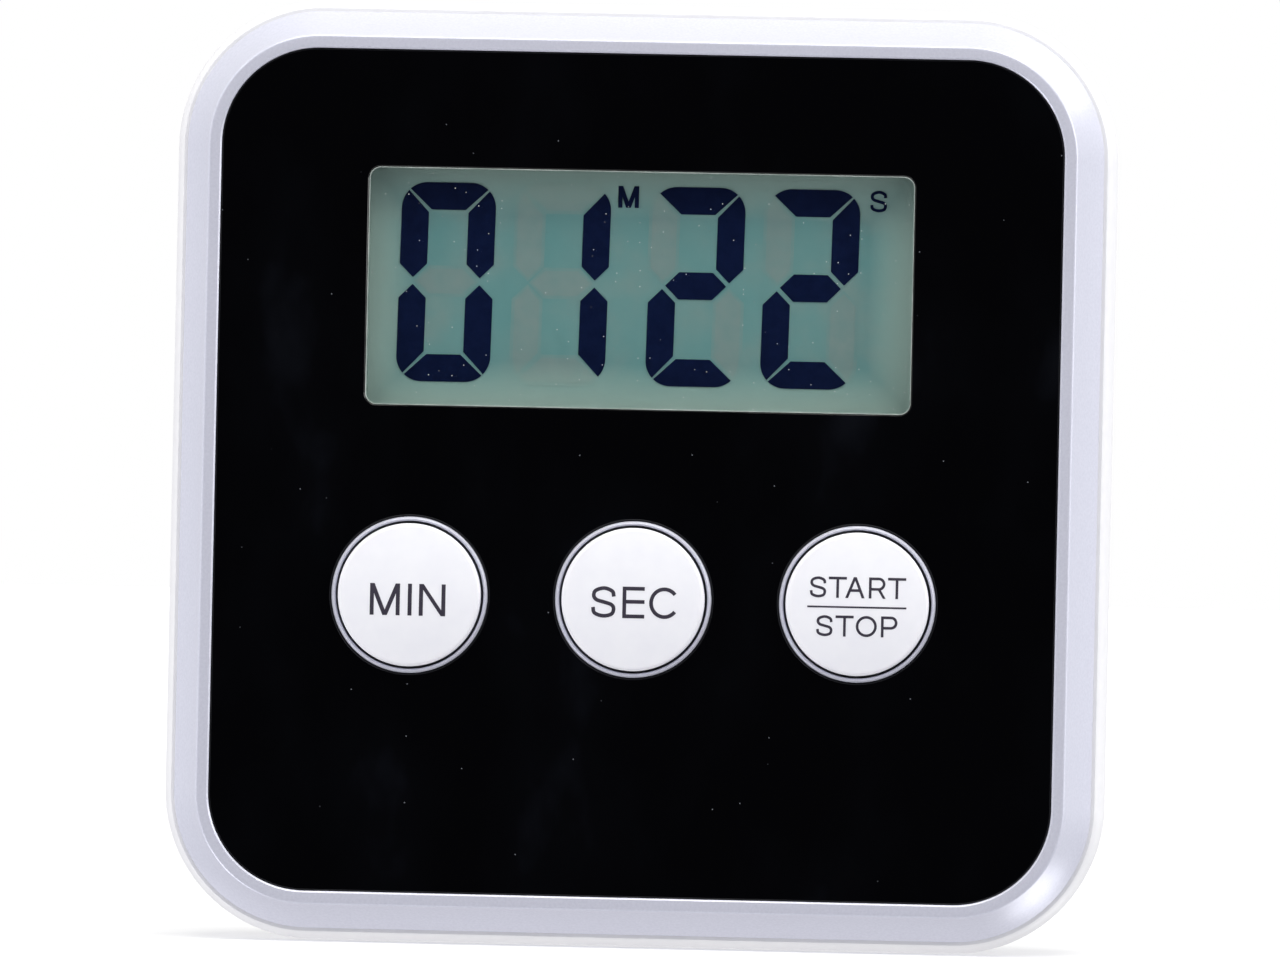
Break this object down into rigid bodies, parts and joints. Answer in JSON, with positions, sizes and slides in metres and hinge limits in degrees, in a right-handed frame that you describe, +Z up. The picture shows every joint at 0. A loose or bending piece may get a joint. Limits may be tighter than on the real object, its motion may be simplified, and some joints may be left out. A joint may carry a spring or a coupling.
{
  "type": "digital countdown timer",
  "caption": "Square pocket-size digital countdown timer with a liquid crystal display, round push buttons, folding back stand, magnets and a sliding battery door.",
  "frame": {"origin": "middle of the bottom edge the timer stands on, at the centre of its bounding box in depth", "axes": "+X to the right of the face, +Y from the face to the back, +Z up the face"},
  "size_m": [0.065, 0.0188, 0.065],
  "materials": {
    "silver_paint": "satin silver paint on plastic",
    "case_white": "satin moulded plastic",
    "panel_black": "high gloss",
    "window_clear": "clear gloss",
    "lcd_glass": "clear gloss",
    "lcd_polariser": "film",
    "lcd_reflector": "grey-green film",
    "holder_white": "matte",
    "tape": "foam tape",
    "cap_white": "satin",
    "silicone": "matte",
    "carbon": "matte",
    "zebra_rubber": "matte",
    "board_green": "solder mask",
    "epoxy": "poured",
    "tin": "bright",
    "chip_ceramic": "fired",
    "chip_black": "matte",
    "brass": "rolled",
    "piezo_ceramic": "fired",
    "spring_steel": "nickel plated",
    "cell_jacket": "printed jacket",
    "wire_red": "insulation",
    "wire_black": "insulation",
    "magnet_nickel": "nickel plated",
    "screw_steel": "plated"
  },
  "bodies": {
    "casing": {"front_case": "silver_paint", "face_panel": "panel_black", "panel_adhesive": "tape", "lcd_window": "window_clear", "lcd_front_polariser": "lcd_polariser", "lcd_front_glass": "lcd_glass", "lcd_rear_glass": "lcd_glass", "lcd_rear_polariser": "lcd_reflector", "lcd_holder": "holder_white", "zebra_strip": "zebra_rubber", "circuit_board": "board_green", "chip_blob": "epoxy", "crystal": "tin", "capacitor_1": "chip_ceramic", "capacitor_2": "chip_ceramic", "resistor": "chip_black", "piezo_brass_disc": "brass", "piezo_ceramic_disc": "piezo_ceramic", "piezo_wire_1": "wire_red", "piezo_wire_2": "wire_black", "battery_wire_positive": "wire_red", "battery_wire_negative": "wire_black", "positive_contact": "spring_steel", "negative_contact": "spring_steel", "negative_spring": "spring_steel", "battery_cell": "cell_jacket", "back_cover": "case_white", "magnet_left": "magnet_nickel", "magnet_right": "magnet_nickel", "case_screw_1": "screw_steel", "case_screw_2": "screw_steel", "case_screw_3": "screw_steel", "case_screw_4": "screw_steel", "board_screw_1": "screw_steel", "board_screw_2": "screw_steel", "board_screw_3": "screw_steel", "board_screw_4": "screw_steel"},
    "min_key": {"button_min": "cap_white", "dome_min": "silicone", "pill_min": "carbon"},
    "sec_key": {"button_sec": "cap_white", "dome_sec": "silicone", "pill_sec": "carbon"},
    "start_stop_key": {"button_start_stop": "cap_white", "dome_start_stop": "silicone", "pill_start_stop": "carbon"},
    "stand": {"kickstand": "case_white"},
    "door": {"battery_door": "case_white"}
  },
  "joints": [
    {"name": "min_press", "type": "slide", "parent": "casing", "child": "min_key", "axis": [0, 1, 0], "range_m": [0, 0.0008], "stiffness_N_per_m": 1500, "springref_m": -0.0002, "deforming": ["dome_min"]},
    {"name": "sec_press", "type": "slide", "parent": "casing", "child": "sec_key", "axis": [0, 1, 0], "range_m": [0, 0.0008], "stiffness_N_per_m": 1500, "springref_m": -0.0002, "deforming": ["dome_sec"]},
    {"name": "start_stop_press", "type": "slide", "parent": "casing", "child": "start_stop_key", "axis": [0, 1, 0], "range_m": [0, 0.0008], "stiffness_N_per_m": 1500, "springref_m": -0.0002, "deforming": ["dome_start_stop"]},
    {"name": "stand_hinge", "type": "hinge", "parent": "casing", "child": "stand", "pos_m": [0, 0.00835, 0.0374], "axis": [1, 0, 0], "range_deg": [0, 50]},
    {"name": "door_slide", "type": "slide", "parent": "casing", "child": "door", "axis": [1, 0, 0], "range_m": [0, 0.012]}
  ]
}
